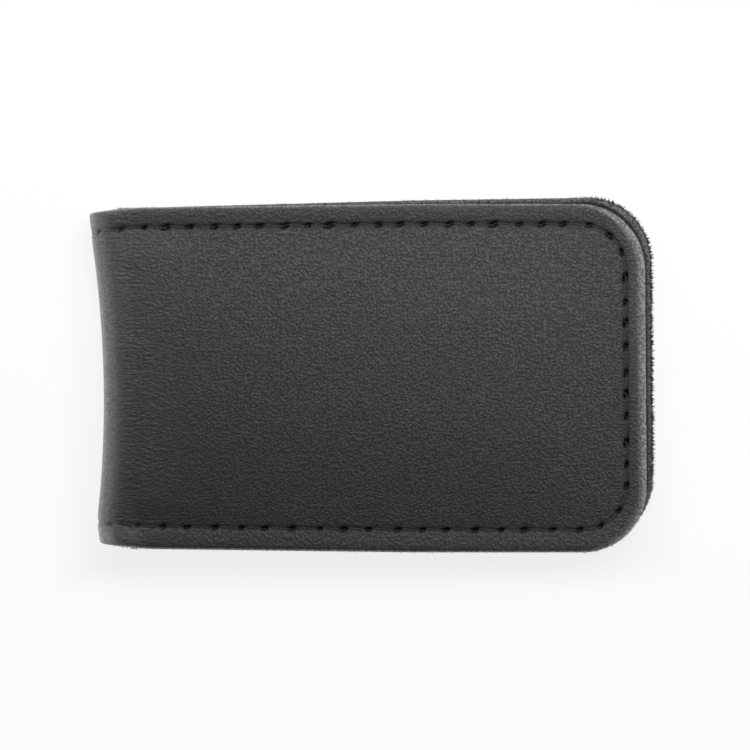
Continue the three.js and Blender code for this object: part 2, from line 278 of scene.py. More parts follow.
def side_run(last_x, step):
    """The straight side of a leaf, from the middle of the fold: x, z, turn and pull."""
    loop_count = round((LOOP_RADIUS + LEATHER) * (math.pi / 2 + SWEEP_ANGLE) / step)
    loop = np.linspace(math.pi / 2, -SWEEP_ANGLE, loop_count + 1)
    sweep = np.linspace(-SWEEP_ANGLE, 0, max(3, round(SWEEP_RADIUS * SWEEP_ANGLE / step)) + 1)[1:]
    flat = np.linspace(0, 1, round((last_x - FLAT_X) / step) + 1)[1:]
    x = np.concatenate([
        LOOP_X - LOOP_RADIUS * np.sin(loop),
        FLAT_X + SWEEP_RADIUS * np.sin(sweep),
        FLAT_X + (last_x - FLAT_X) * flat,
    ])
    z = np.concatenate([
        -LOOP_RADIUS * np.cos(loop),
        -HALF_GAP - SWEEP_RADIUS * (1 - np.cos(sweep)),
        np.full(flat.shape, -HALF_GAP),
    ])
    turn = np.concatenate([loop, sweep, np.zeros(flat.shape)])
    pull = np.concatenate([np.ones(len(loop) + len(sweep)), 1 - flat])
    return x, z, turn, pull


def leaf_rings(end, insets, step):
    """Lines round a leaf at the insets from its edge, from the fold round to the fold."""
    side_x, side_z, side_turn, side_pull = side_run(end - CORNER_RADIUS, step)
    corner_count = round(CORNER_RADIUS * math.pi / 2 / step)
    angle = np.linspace(0, math.pi / 2, corner_count + 1)[1:]
    corner_y = half_width(end - CORNER_RADIUS) - CORNER_RADIUS
    end_y = np.linspace(corner_y, -corner_y, round(2 * corner_y / step) + 1)[1:-1]
    inset = np.array(insets)[:, None]
    radius = CORNER_RADIUS - inset
    rings = inset.shape[0]

    def across(top, middle, flip=1):
        wide = [np.broadcast_to(part, (rings, part.shape[-1])) for part in top]
        back = [flip * part[:, ::-1] for part in reversed(wide)]
        middle = np.broadcast_to(middle, (rings, middle.shape[-1]))
        return np.concatenate([*wide, middle, *back], axis=1)

    corner_x = end - CORNER_RADIUS + radius * np.sin(angle)
    upper_y = (half_width(side_x) - inset, corner_y + radius * np.cos(angle))
    flat_corner = np.zeros(corner_count)
    flat_end = np.zeros(len(end_y))
    return Strip(
        across((side_x, corner_x), end - inset + flat_end),
        across((side_z, flat_corner - HALF_GAP), flat_end - HALF_GAP),
        across((side_turn, flat_corner), flat_end),
        across((side_pull, flat_corner), flat_end),
        across(upper_y, end_y + 0 * inset, -1),
        inset,
    )


def leaf_field(end, step):
    """The field inside the innermost ring, as lines along the leaf."""
    side_x, side_z, side_turn, side_pull = side_run(end - CORNER_RADIUS, step)
    corner_y = half_width(end - CORNER_RADIUS) - CORNER_RADIUS
    share = np.linspace(1, -1, round(2 * corner_y / step) + 1)[:, None]
    y = (half_width(side_x) - CORNER_RADIUS) * share
    inset = half_width(side_x) - np.abs(y)
    return Strip(side_x, side_z, side_turn, side_pull, y, inset)


def run_length(points):
    """Distance of each point from the start of a line, measured along it."""
    steps = np.linalg.norm(np.diff(points, axis=0), axis=1)
    return np.concatenate([[0], np.cumsum(steps)])


STITCH_PITCH = 2.93
RETURN_PITCH = 3.25
RETURN_TURN = (0.6, 0.65)
HAND_SWAY = (0.06, 1.9)
HAND_SHAKE = (0.03, 4.3)
FIRST_HOLE = 0.1


def stitch_count(end, step):
    """Number of stitches from the fold to each place on the seam round a leaf. They fill the seam
    evenly but for the maker's hand, and are longer on the way back to the fold."""
    line = leaf_rings(end, [SEAM_INSET], step)
    travel = run_length(line.points(PLY_GAP / 2 + LEATHER, 1)[0])
    middle = (travel[1:] + travel[:-1]) / 2 / travel[-1]
    pitch = STITCH_PITCH + (RETURN_PITCH - STITCH_PITCH) * smooth(middle, *RETURN_TURN)
    count = np.concatenate([[0], np.cumsum(np.diff(travel) / pitch)])
    count *= round(count[-1]) / count[-1]
    sway, shake = (size * np.sin(rate * count) for size, rate in (HAND_SWAY, HAND_SHAKE))
    return count + FIRST_HOLE + sway + shake


FOLD_LEAD = 2.0
FOLD_RISE = 7.5
SEAM_RISE = 5.0
CROWN_RISE = 16.0


def swell(place, end):
    """How far the board lifts the ply, from 0 at the seam and the fold to 1 over the board, and how
    far the shown face follows, which is a wide crown."""
    rise_x = FLAT_X + FOLD_SAG
    along = smooth(place.x, rise_x - FOLD_LEAD, rise_x + FOLD_RISE)
    board = smooth(place.inset, SEAM_INSET, SEAM_INSET + SEAM_RISE)
    across = (half_width(place.x) - np.abs(place.y) - SEAM_INSET) / CROWN_RISE
    across = np.sin(math.pi / 2 * np.clip(across, 0, 1))
    endways = smooth(end - place.x, SEAM_INSET, SEAM_INSET + CROWN_RISE)
    return along * board, along * across * endways


HOLE_LONG = 0.5
HOLE_WIDE = 0.26
HOLE_LEAN = math.radians(24)
END_SEAM = (65.5, 67.5)
END_LEAN_TURN = 1.5
HOLE_UNEVEN = 0.35
HOLE_RHYTHM = 2.7


def hole_shape(place, count):
    """1 at the middle of each needle hole, which is a slot that leans across the seam."""
    stitch = np.round(count)
    along = (count - stitch) * STITCH_PITCH
    across = place.inset - SEAM_INSET
    lean = HOLE_LEAN * (1 - END_LEAN_TURN * smooth(fold_distance(place), *END_SEAM))
    long_way = along * np.cos(lean) - across * np.sin(lean)
    wide_way = along * np.sin(lean) + across * np.cos(lean)
    uneven = 1 + HOLE_UNEVEN * np.sin(HOLE_RHYTHM * stitch)
    far = (long_way / HOLE_LONG) ** 2 + (wide_way / HOLE_WIDE) ** 2
    return np.exp(-((uneven * far) ** 2))


EDGE_DROP = 0.5
END_ROUND = 1.7
END_DROP = 0.85
END_REACH = CORNER_RADIUS * 0.6
HEM_ROLL = 0.26
HEM_FLAT = 0.6
HEM_CURVE = 1.5
FOLD_FILL = 0.22
FILL_FADE = (1.0, 12.0)
FILL_RISE = 4.0
FURROW_DEPTH = 0.06
FURROW_REACH = 0.3
FURROW_TUG = 0.15
HOLE_DEPTH = 0.8
HOLE_AT_FOLD = 0.12
HOLE_DEEPENS = (-34.5, -24.0)
LOWER_SLACK = 0.5


def leather_face(place, count, end):
    """Height of the grain side over the line where the plies meet."""
    inset = place.inset
    endways = smooth(place.x + inset, end - END_REACH, end)
    round_share = np.clip(1 - inset / (EDGE_ROUND + (END_ROUND - EDGE_ROUND) * endways), 0, 1)
    drop = (EDGE_DROP + (END_DROP - EDGE_DROP) * endways) * (1 - np.sqrt(1 - round_share**2))
    hem = np.clip((inset - HEM_FLAT) / (SEAM_INSET - HEM_FLAT), 0, 1)
    roll = HEM_ROLL * (1 - hem**HEM_CURVE)
    furrow = FURROW_DEPTH * np.exp(-(((inset - SEAM_INSET) / FURROW_REACH) ** 2))
    fill = smooth(place.x, LOOP_X, FLAT_X) * (1 - smooth(place.x - FLAT_X, *FILL_FADE))
    fill = fill * smooth(inset, SEAM_INSET, SEAM_INSET + FILL_RISE)
    tug = 1 - FURROW_TUG * (1 - np.cos(2 * math.pi * count))
    hole_depth = HOLE_AT_FOLD + (1 - HOLE_AT_FOLD) * smooth(place.x, *HOLE_DEEPENS)
    hole_depth = HOLE_DEPTH * hole_depth * (1 - LOWER_SLACK * lower_side(place.y))
    hole = hole_depth * hole_shape(place, count)
    crowned = LEATHER_SWELL * swell(place, end)[1] + FOLD_FILL * fill
    return PLY_GAP / 2 + LEATHER + crowned - drop + roll - furrow * tug - hole


def leather_flesh(place, count, end):
    return PLY_GAP / 2 + LEATHER_SWELL * swell(place, end)[0]


class Sheets:
    """Gathers grids of points into one closed mesh that carries attributes on its points."""

    def __init__(self):
        self.points = []
        self.faces = []
        self.values = {}
        self.size = 0

    def grid(self, points, **values):
        rows, columns = points.shape[:2]
        index = self.size + np.arange(rows * columns).reshape(rows, columns)
        self.size += rows * columns
        self.points.append(points.reshape(-1, 3))
        for name, value in values.items():
            self.values.setdefault(name, []).append(value.reshape(-1, 3))
        self.quads(index)
        return index

    def quads(self, index):
        corners = [index[:-1, :-1], index[1:, :-1], index[1:, 1:], index[:-1, 1:]]
        self.faces.append(np.stack(corners, axis=-1).reshape(-1, 4))

    def made(self, name, material):
        """The piece, with points that lie in the same place made one."""
        points = np.concatenate(self.points)
        _, first, same = np.unique(
            np.round(points, 4), axis=0, return_index=True, return_inverse=True
        )
        faces = []
        for quad in same.reshape(-1)[np.concatenate(self.faces)].tolist():
            corners = [c for i, c in enumerate(quad) if c != quad[i - 1]]
            if len(corners) > 2:
                faces.append(corners)
        mesh = bpy.data.meshes.new(name)
        mesh.from_pydata(points[first] * MM, [], faces)
        for key, parts in self.values.items():
            carried = mesh.attributes.new(key, "FLOAT_VECTOR", "POINT")
            carried.data.foreach_set("vector", np.concatenate(parts)[first].ravel())
        return finished(name, mesh, material)


SHARP_ANGLE = math.radians(50)


def placed(name, data):
    thing = bpy.data.objects.new(name, data)
    bpy.context.scene.collection.objects.link(thing)
    return thing


def finished(name, mesh, material):
    """A smooth piece whose faces point out, with sharp lines where two faces meet steeply."""
    work = bmesh.new()
    work.from_mesh(mesh)
    bmesh.ops.recalc_face_normals(work, faces=work.faces)
    work.to_mesh(mesh)
    work.free()
    mesh.shade_smooth()
    mesh.set_sharp_from_angle(angle=SHARP_ANGLE)
    mesh.materials.clear()
    mesh.materials.append(material)
    return placed(name, mesh)


GRAIN_EDGE = 2.9
GRAIN_EDGE_STRETCH = 0.9
GRAIN_FOLD = 9.0
GRAIN_FOLD_STRETCH = 0.4


def grain_map(place, end):
    """Where the grain of each place lay before the ply was drawn over its edges and its fold."""
    inset = np.minimum(place.inset, GRAIN_EDGE)
    drawn_inset = (GRAIN_EDGE - inset) * (1 - GRAIN_EDGE_STRETCH)
    along = fold_distance(place)
    near = np.minimum(along, GRAIN_FOLD) / GRAIN_FOLD
    drawn_along = GRAIN_FOLD * GRAIN_FOLD_STRETCH * (near - near**2 / 2)
    corner_x = end - CORNER_RADIUS
    corner_y = half_width(corner_x) - CORNER_RADIUS
    out_x = np.maximum(place.x - corner_x, 0)
    out_y = np.maximum(np.abs(place.y) - corner_y, 0) * np.sign(place.y)
    far = np.maximum(np.hypot(out_x, out_y), 0.001)
    return np.stack([
        along - drawn_along - drawn_inset * out_x / far,
        place.y - drawn_inset * out_y / far,
        np.zeros_like(along),
    ], axis=-1)


def fold_distance(place):
    """Distance from the middle of the fold, measured on the grain side."""
    loop = (LOOP_RADIUS + LEATHER) * (math.pi / 2 - place.turn)
    sweep_start = (LOOP_RADIUS + LEATHER) * (math.pi / 2 + SWEEP_ANGLE)
    sweep = sweep_start + (SWEEP_RADIUS - LEATHER) * (place.turn + SWEEP_ANGLE)
    flat = sweep_start + (SWEEP_RADIUS - LEATHER) * SWEEP_ANGLE + place.x - FLAT_X
    past_loop = place.x > LOOP_X + LOOP_RADIUS * math.sin(SWEEP_ANGLE)
    return np.where(place.x >= FLAT_X, flat, np.where(past_loop, sweep, loop))


def seam_map(place, count):
    """The stitch, the inset and the distance from the fold of each place."""
    count = np.broadcast_to(count, place.x.shape)
    return np.stack([count, place.inset, fold_distance(place)], axis=-1)


LEATHER_STEP = 0.24
HIDDEN_STEP = 1.0
RING_INSETS = np.concatenate([
    EDGE_ROUND * (1 - np.cos(np.linspace(0, math.pi / 2, 8))),
    np.linspace(0.7, 1.9, 9),
    np.linspace(2.02, 2.98, 15),
    np.linspace(3.15, CORNER_RADIUS, 16),
])
HIDDEN_INSETS = [0, SEAM_INSET, 4.5, CORNER_RADIUS]
BETWEEN_STITCHES = 0.5


def ply(name, leaf, step, shown_insets, shown_face, hidden_face, material):
    """One leaf of a ply with its half of the fold, up to the middle of the loop, as a closed sheet.
    Its points carry where they lie in the grain, and their stitch, inset and way from the fold."""
    end = LEAF_END[leaf]
    up = LEAF_UP[leaf]
    sheets = Sheets()
    rims = []
    turned = np.array([up, 1, 1])
    shown = (shown_insets, step, shown_face, 0)
    hidden = (HIDDEN_INSETS, HIDDEN_STEP, hidden_face, LEATHER)
    for insets, spacing, face, deep in (shown, hidden):
        drawn_over = np.array([deep, deep, 0])
        cut_down = np.array([0, deep, 0])
        grids = []
        for place, count in (
            (leaf_rings(end, insets, spacing), stitch_count(end, spacing)),
            (leaf_field(end, spacing), BETWEEN_STITCHES),
        ):
            grids.append(sheets.grid(
                place.points(face(place, count, end), up),
                grain=grain_map(place, end) * turned + drawn_over,
                seam=seam_map(place, count) - cut_down,
            ))
        ring_index, field_index = grids
        cut = np.concatenate([ring_index[:, 0], field_index[1:-1, 0], ring_index[::-1, -1]])
        rims.append((ring_index[0], cut))
    for shown_rim, hidden_rim in zip(*rims):
        rim_strip(sheets, shown_rim, hidden_rim)
    return sheets.made(name, material)


def rim_strip(sheets, shown, hidden):
    """Faces between two rims that run the same way and may have different counts of points."""
    points = np.concatenate(sheets.points)
    a, b = run_length(points[shown]), run_length(points[hidden])
    a, b = a / a[-1], b / b[-1]
    i = j = 0
    faces = []
    while i < len(shown) - 1 or j < len(hidden) - 1:
        if j == len(hidden) - 1 or (i < len(shown) - 1 and a[i + 1] <= b[j + 1]):
            faces.append((shown[i], shown[i + 1], hidden[j], hidden[j]))
            i += 1
        else:
            faces.append((shown[i], hidden[j + 1], hidden[j], hidden[j]))
            j += 1
    sheets.faces.append(np.array(faces))


LEATHER_TOP = (0.0050, 0.0042, 0.0046, 1)
LEATHER_WARM = (0.0070, 0.0045, 0.0040, 1)
LEATHER_CREASE_SHADE = (0.0015, 0.0012, 0.0014, 1)
LEATHER_SHINE = (1.0, 0.95, 0.975, 1)
LEATHER_DUST = (0.16, 0.155, 0.15, 1)
PAINTED_SHADE_BLACK = (0.001, 0.001, 0.001, 1)
PEBBLE = 0.43
PEBBLE_WANDER = (0.35, 0.35, 0)
FINE_GRAIN = 2.4
PATCH_GRAIN = 1.0
BROAD_GRAIN = 0.22
SPECKS = 1.1
DUST_PATCH = 0.7
WARM_PATCH = 1.3
CREASE_STRETCH = (1.2, 3.2)
PEBBLE_RELIEF = 0.04
FINE_RELIEF = 0.037
CREASE_RELIEF = 0.115
BROAD_RELIEF = 0.06
PEBBLE_TOP = (-0.1, 0.36)
FLAT_RIM = (0.0, 0.5)
CUT_SIDE = (-0.3, 0.0)
HOLE_RIM = (0.4, 1.5)
SEAM_SHADE_REACH = (0.1, 1.0)
SOFT_FOLD = (5.0, 17.0)
FOLD_SHINE = 0.98
BESIDE_SHINE = 0.32
CORNER_SHINE = 0.2
RUBBED_FOLD = (0.4, 2.6)
RUBBED_BESIDE = (2.4, 5.8)
RUBBED_CORNER = (3.0, 9.0)
RUBBED_HEM = (1.7, 2.4)
RUBBED_RIM = 0.32
RUBBED_END_RIM = 1.05
FREE_END = (62.0, 70.0)
RETURN_STITCHES = (30.0, 34.0)
WAX_ROUGHNESS = 0.65
LEATHER_WAX_IOR = 3.9


def attribute(tree, name, output="Vector"):
    return Wire.of(tree, "ShaderNodeAttribute", {"attribute_name": name}, None, output)


def parts_of(tree, vector):
    split = Wire.of(tree, "ShaderNodeSeparateXYZ", None, {0: vector}).socket.node
    return [Wire(split.outputs[i]) for i in range(3)]


def stretched(tree, vector, x, y):
    settings = {"operation": "MULTIPLY"}
    return Wire.of(tree, "ShaderNodeVectorMath", settings, {0: vector, 1: (x, y, 1)}, 0)


def pebbled(tree, grain):
    """The pebbles of the grain and the fine grain on them, each from 0 to 1."""
    wander = Wire.of(tree, "ShaderNodeTexNoise", None, {"Vector": grain, "Scale": 0.9}, "Color")
    wander = Wire.of(
        tree, "ShaderNodeVectorMath", {"operation": "MULTIPLY_ADD"},
        {0: wander, 1: PEBBLE_WANDER, 2: grain},
    )
    cells = Wire.of(
        tree, "ShaderNodeTexVoronoi", {"feature": "DISTANCE_TO_EDGE", "voronoi_dimensions": "2D"},
        {"Vector": wander, "Scale": 1 / PEBBLE}, "Distance",
    )
    fine = noise(tree, grain, FINE_GRAIN, 1.0)
    patch = noise(tree, grain, PATCH_GRAIN, 1.0)
    pebble = cells * 0.7 + (fine - 0.5) + (patch - 0.5) * 0.3
    return ease(tree, pebble, *PEBBLE_TOP), fine


def dusty_black(tree, grain, pebble):
    """Black with brown patches, painted shade between the pebbles, and a few specks of dust."""
    speck = Wire.of(
        tree, "ShaderNodeTexVoronoi", {"voronoi_dimensions": "2D"},
        {"Vector": grain, "Scale": SPECKS}, "Distance",
    )
    dust = 1 - ease(tree, speck, 0.03, 0.06)
    dust = dust * ease(tree, noise(tree, grain, DUST_PATCH), 0.5, 0.62)
    warmth = ease(tree, noise(tree, grain, WARM_PATCH, 3.0), 0.5, 0.75)
    colour = mix_colour(tree, warmth * 0.6, LEATHER_TOP, LEATHER_WARM)
    # Painted shade: the gaps between the pebbles are darker.
    colour = mix_colour(tree, pebble, LEATHER_CREASE_SHADE, colour)
    return mix_colour(tree, dust * 0.5, colour, LEATHER_DUST)


def hole_distance(tree, count, inset, along):
    """0 at the middle of each needle hole and 1 at its rim. The holes are those of hole_shape."""
    stitch = count.math("ROUND", count)
    step = (count - stitch) * STITCH_PITCH
    across = inset - SEAM_INSET
    lean = HOLE_LEAN * (1 - END_LEAN_TURN * ease(tree, along, *END_SEAM))
    lean_cos, lean_sin = lean.math("COSINE", lean), lean.math("SINE", lean)
    long_way = step * lean_cos - across * lean_sin
    wide_way = step * lean_sin + across * lean_cos
    uneven = 1 + HOLE_UNEVEN * stitch.math("SINE", HOLE_RHYTHM * stitch)
    return ((long_way / HOLE_LONG) ** 2 + (wide_way / HOLE_WIDE) ** 2) * uneven


def burnished(tree, inset, along, slack):
    """How bright hands have rubbed the leather: on the fold, the hem of its lower corner and the
    rim, which is rubbed widest at the free end."""
    bright = FOLD_SHINE * (1 - ease(tree, along, *RUBBED_FOLD))
    bright = bright + BESIDE_SHINE * (1 - ease(tree, along, *RUBBED_BESIDE))
    corner = slack * (1 - ease(tree, along, *RUBBED_CORNER)) * (1 - ease(tree, inset, *RUBBED_HEM))
    rolled = inset / (RUBBED_RIM + RUBBED_END_RIM * ease(tree, along, *FREE_END))
    rim = 1 - ease(tree, rolled, 0.1, 1.0)
    bright = bright.math("MAXIMUM", bright + CORNER_SHINE * corner, rim)
    return bright * ease(tree, inset, *CUT_SIDE)


def black_leather():
    material, tree, shader = new_finish("black_leather")
    grain = attribute(tree, "grain")
    count, inset, along = parts_of(tree, attribute(tree, "seam"))
    fold = 1 - ease(tree, along, *SOFT_FOLD)
    slack = ease(tree, count, *RETURN_STITCHES)

    # Over the fold the pebbles are stretched flat and fine creases run round it.
    pebble, fine = pebbled(tree, grain)
    broad = noise(tree, grain, BROAD_GRAIN, 2.0)
    creases = noise(tree, stretched(tree, grain, *CREASE_STRETCH), 1.0, 1.5)
    relief = pebble * (PEBBLE_RELIEF - 0.03 * fold) + (FINE_RELIEF + 0.016 * fold) * fine
    relief = relief + creases * fold * CREASE_RELIEF
    rim = ease(tree, inset.math("ABSOLUTE", inset), *FLAT_RIM)
    height = relief * rim * (0.6 + 0.8 * broad) + BROAD_RELIEF * broad

    # Rubbed places shine with wax, most on top of the pebbles and the creases.
    ridge = ease(tree, creases * 0.35 + pebble * 0.25 + fine * 0.4, 0.25, 0.75)
    wax = 0.3 + 0.53 * pebble * (1 - fold) + (0.22 + 0.26 * ridge) * fold
    wax = burnished(tree, inset, along, slack) * wax
    plug(shader, {
        "Base Color": dusty_black(tree, grain, pebble),
        "Roughness": 0.68 - 0.14 * pebble + 0.06 * fine,
        "Normal": bump(tree, height),
        "Specular IOR Level": 1.0,
        "Specular Tint": LEATHER_SHINE,
        "Coat Weight": wax.math("MINIMUM", wax, 1.0),
        "Coat Roughness": WAX_ROUGHNESS,
        "Coat IOR": LEATHER_WAX_IOR,
    })

    # Painted shade: needle holes, a band along the seam and gaps between pebbles go near-black.
    ragged = fine - 0.5
    hole = hole_distance(tree, count, inset, along) + ragged * 2.4 + 0.3 * fold
    hole = 1 - ease(tree, hole, *HOLE_RIM)
    beside = inset - SEAM_INSET
    beside = beside.math("ABSOLUTE", beside) + ragged * 0.3
    seam_shade = 1 - ease(tree, beside, *SEAM_SHADE_REACH)
    sunk = (1 - pebble) * (0.16 + 0.16 * ease(tree, inset, 1.5, 3.0)) * (1 - 0.85 * fold)
    shaded = seam_shade.math("MAXIMUM", (0.42 - 0.25 * fold - 0.15 * slack) * seam_shade, sunk)
    shaded = hole.math("MAXIMUM", hole * (0.85 - 0.15 * fold - 0.25 * slack), shaded)
    painted_shade = Wire.of(tree, "ShaderNodeBsdfPrincipled", None, {
        "Base Color": PAINTED_SHADE_BLACK, "Roughness": 0.87, "Specular IOR Level": 0.1,
    })
    surface = {0: shaded, 1: Wire(shader.outputs[0]), 2: painted_shade}
    plug(tree.nodes["Material Output"], {
        "Surface": Wire.of(tree, "ShaderNodeMixShader", None, surface),
    })
    return material


leather = black_leather()


def bend_with_fold(piece):
    """The piece's place is baked into its mesh."""
    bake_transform(piece)


for leaf in LEAF_UP:
    piece = ply(
        f"leather_{leaf}", leaf, LEATHER_STEP, RING_INSETS,
        leather_face, leather_flesh, leather,
    )
    bend_with_fold(piece)
    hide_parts(f"outer_leather_{leaf}", "outer_leather_spine")

# Suede lining
# One strip of dark grey suede under the leather, with its napped side in. It is glued round the
# boards and sewn to the leather along the edge, where its cut fibres stand out.
LINING_STEP = 0.6
LINING_INSETS = np.concatenate([
    [0, 0.12, 0.35, 0.7, 1.2, 1.7],
    np.linspace(2.0, 3.0, 9),
    [3.6, 4.4, 5.4, 6.4, CORNER_RADIUS],
])
LINING_FURROW = 0.26
LINING_HOLE = 0.25
LINING_EDGE = 0.35
LINING_EDGE_DROP = 0.15
LIT_LINING_END = (64.0, 69.0)
SHADOW_END = (58.0, 64.0)
SHADOW_FROM = (0.4, 0.75)
SHADOW_TO = (1.8, 3.0)
CUT_AND_LIT_FRINGE = (0.1, 0.55)
NAP = 5.0
CLUMP = 3.2
BRUSHED_WAY = (0.5, 0.9)
SUEDE = (0.014, 0.0144, 0.0144, 1)
SUEDE_PALE = (0.105, 0.106, 0.105, 1)
SUEDE_CUT_AND_LIT = (0.155, 0.156, 0.153, 1)
SUEDE_SHADOW = (0.005, 0.0052, 0.0052, 1)


def lining_face(place, count, end):
    furrow = LINING_FURROW * np.exp(-(((place.inset - SEAM_INSET) / FURROW_REACH) ** 2))
    edge = LINING_EDGE_DROP * np.clip(1 - place.inset / LINING_EDGE, 0, 1) ** 2
    hole = LINING_HOLE * hole_shape(place, count)
    return -PLY_GAP / 2 - LINING_SWELL * swell(place, end)[1] - LINING + furrow + edge + hole


def lining_back(place, count, end):
    return -PLY_GAP / 2 - LINING_SWELL * swell(place, end)[0]


def grey_suede():
    material, tree, shader = new_finish("grey_suede")
    grain = attribute(tree, "grain")
    nap = noise(tree, grain, NAP, 4.0, 0.7)
    brushed = noise(tree, stretched(tree, grain, *BRUSHED_WAY), 0.5, 2.0)
    clump = noise(tree, grain, CLUMP, 3.0, 0.7)
    tone = ease(tree, clump * 0.8 + brushed * 0.3, 0.4, 0.72)
    _, inset, along = parts_of(tree, attribute(tree, "seam"))
    # Pale cut fibres at the edge, partly painted light; near the free end the pale rim widens as
    # painted light.
    endways = ease(tree, along, *LIT_LINING_END)
    cut = 1 - ease(tree, inset - 0.35 * endways, *CUT_AND_LIT_FRINGE)
    cut = cut * ease(tree, clump, 0.38, 0.6) * ease(tree, inset, *CUT_SIDE)
    # Painted shadow: a dark band in from the edge near the free end, where the other leaf shades
    # it.
    shadowed = ease(tree, inset, *SHADOW_FROM) * (1 - ease(tree, inset, *SHADOW_TO))
    shadowed = shadowed * ease(tree, along, *SHADOW_END)
    face = mix_colour(tree, shadowed * 0.9, mix_colour(tree, tone, SUEDE, SUEDE_PALE), SUEDE_SHADOW)
    plug(shader, {
        "Base Color": mix_colour(tree, cut, face, SUEDE_CUT_AND_LIT),
        "Roughness": 0.95,
        "Normal": bump(tree, 0.07 * nap + 0.05 * brushed),
        "Sheen Weight": 0.35,
        "Sheen Roughness": 0.5,
        "Specular IOR Level": 0.2,
    })
    return material


suede = grey_suede()
for leaf in LEAF_UP:
    piece = ply(
        f"lining_{leaf}_suede", leaf, LINING_STEP, LINING_INSETS,
        lining_face, lining_back, suede,
    )
    bend_with_fold(piece)
    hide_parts(f"lining_{leaf}", "lining_spine")

# Seam
# A lockstitch seam runs round the whole strip. The needle thread lies in the furrow of the
# leather, and the bobbin thread in the lining. Both are three-ply black polyester.
STRANDS = 3
STRAND_RADIUS = 0.1
LAY_RADIUS = 0.09
TWISTS = 3.0
NEEDLE_SEAT = -0.1
BOBBIN_SEAT = -0.06
STITCH_DIP = 0.6
STITCH_SLANT = 0.3
STITCH_SINKS = (0.12, 0.5)
STITCH_POINTS = 14
STRAND_SIDES = 6
THREAD_BLACK = (0.016, 0.0150, 0.0155, 1)
THREAD_WORN = (0.045, 0.042, 0.044, 1)
THREAD_RUBBED = (1.5, 5.0)
THREAD_FUZZ = 9000.0
THREAD_WAX_IOR = 3.1


def edge_path(name, points, vectors, values):
    """A mesh of edges from point to point, with vectors and values on its points."""
    mesh = bpy.data.meshes.new(name)
    mesh.from_pydata(points * MM, [(i, i + 1) for i in range(len(points) - 1)], [])
    for key, data in vectors.items():
        mesh.attributes.new(key, "FLOAT_VECTOR", "POINT").data.foreach_set("vector", data.ravel())
    for key, data in values.items():
        mesh.attributes.new(key, "FLOAT", "POINT").data.foreach_set("value", data)
    return placed(name, mesh)


def seam_path(name, leaf, face_offset):
    """The seam's line, with the ways up and across, the stitch count and the way from the fold."""
    end = LEAF_END[leaf]
    up = LEAF_UP[leaf]
    step = STITCH_PITCH / STITCH_POINTS
    line = leaf_rings(end, [SEAM_INSET], step)
    points = line.points(face_offset, up)[0]
    lifted = line.points(face_offset + np.sign(face_offset), up)[0]
    rise = lifted - points
    ahead = np.gradient(points, axis=0)
    across = np.cross(rise, ahead)
    across /= np.linalg.norm(across, axis=1, keepdims=True)
    outward = leaf_rings(end, [SEAM_INSET - 0.1], step).points(face_offset, up)[0] - points
    across *= np.sign(np.sum(across * outward, axis=1, keepdims=True))
    values = {"count": stitch_count(end, step), "along": fold_distance(line)[0]}
    return edge_path(name, points, {"rise": rise, "across": across}, values)


def geometry_tree(name, sizes):
    """A Geometry Nodes tree and its named inputs, as wires."""
    tree = bpy.data.node_groups.new(name, "GeometryNodeTree")
    tree.interface.new_socket("Geometry", in_out="INPUT", socket_type="NodeSocketGeometry")
    for size, kind in sizes.items():
        tree.interface.new_socket(size, in_out="INPUT", socket_type=kind)
    tree.interface.new_socket("Geometry", in_out="OUTPUT", socket_type="NodeSocketGeometry")
    entry = tree.nodes.new("NodeGroupInput")
    wires = {socket.name: Wire(socket) for socket in entry.outputs if socket.name}
    return tree, wires


def end_tree(tree, geometry, material):
    geometry = Wire.of(tree, "GeometryNodeRealizeInstances", None, {0: geometry})
    geometry = Wire.of(
        tree, "GeometryNodeSetMaterial", None, {"Geometry": geometry, "Material": material}
    )
    plug(tree.nodes.new("NodeGroupOutput"), {0: geometry})


def named(tree, name, kind="FLOAT_VECTOR"):
    return Wire.of(tree, "GeometryNodeInputNamedAttribute", {"data_type": kind}, {"Name": name})


def scaled(tree, vector, size):
    inputs = {0: vector, "Scale": size}
    return Wire.of(tree, "ShaderNodeVectorMath", {"operation": "SCALE"}, inputs)


def twisted_thread():
    """Three strands that twist round the seam's line and sink into each needle hole."""
    tree, size = geometry_tree("twisted_thread", {
        "Strand radius": "NodeSocketFloat",
        "Lay radius": "NodeSocketFloat",
        "Twists per stitch": "NodeSocketFloat",
        "Dip": "NodeSocketFloat",
        "Slant": "NodeSocketFloat",
        "Material": "NodeSocketMaterial",
    })
    line = Wire.of(tree, "GeometryNodeMeshToCurve", None, {0: size["Geometry"]})
    strands = Wire.of(
        tree, "GeometryNodeDuplicateElements", {"domain": "SPLINE"},
        {"Geometry": line, "Amount": STRANDS},
    )
    number = Wire(strands.socket.node.outputs["Duplicate Index"])
    count = named(tree, "count", "FLOAT")
    angle = (count * size["Twists per stitch"] + number / STRANDS) * (2 * math.pi)
    share = count.math("FRACT", count)
    swing = share * 2 - 1
    sunk = 1 - ease(tree, 1 - swing.math("ABSOLUTE", swing), *STITCH_SINKS)
    lift = angle.math("COSINE", angle) * size["Lay radius"] - sunk * size["Dip"]
    aside = angle.math("SINE", angle) * size["Lay radius"] + (0.5 - share) * size["Slant"]
    offset = Wire.of(tree, "ShaderNodeVectorMath", {"operation": "ADD"}, {
        0: scaled(tree, named(tree, "rise"), lift),
        1: scaled(tree, named(tree, "across"), aside),
    })
    strands = Wire.of(
        tree, "GeometryNodeSetPosition", None, {"Geometry": strands, "Offset": offset}
    )
    section = Wire.of(
        tree, "GeometryNodeCurvePrimitiveCircle", {"mode": "RADIUS"},
        {"Resolution": STRAND_SIDES, "Radius": size["Strand radius"]},
    )
    tube = Wire.of(
        tree, "GeometryNodeCurveToMesh", None,
        {"Curve": strands, "Profile Curve": section, "Fill Caps": True},
    )
    end_tree(tree, tube, size["Material"])
    return tree


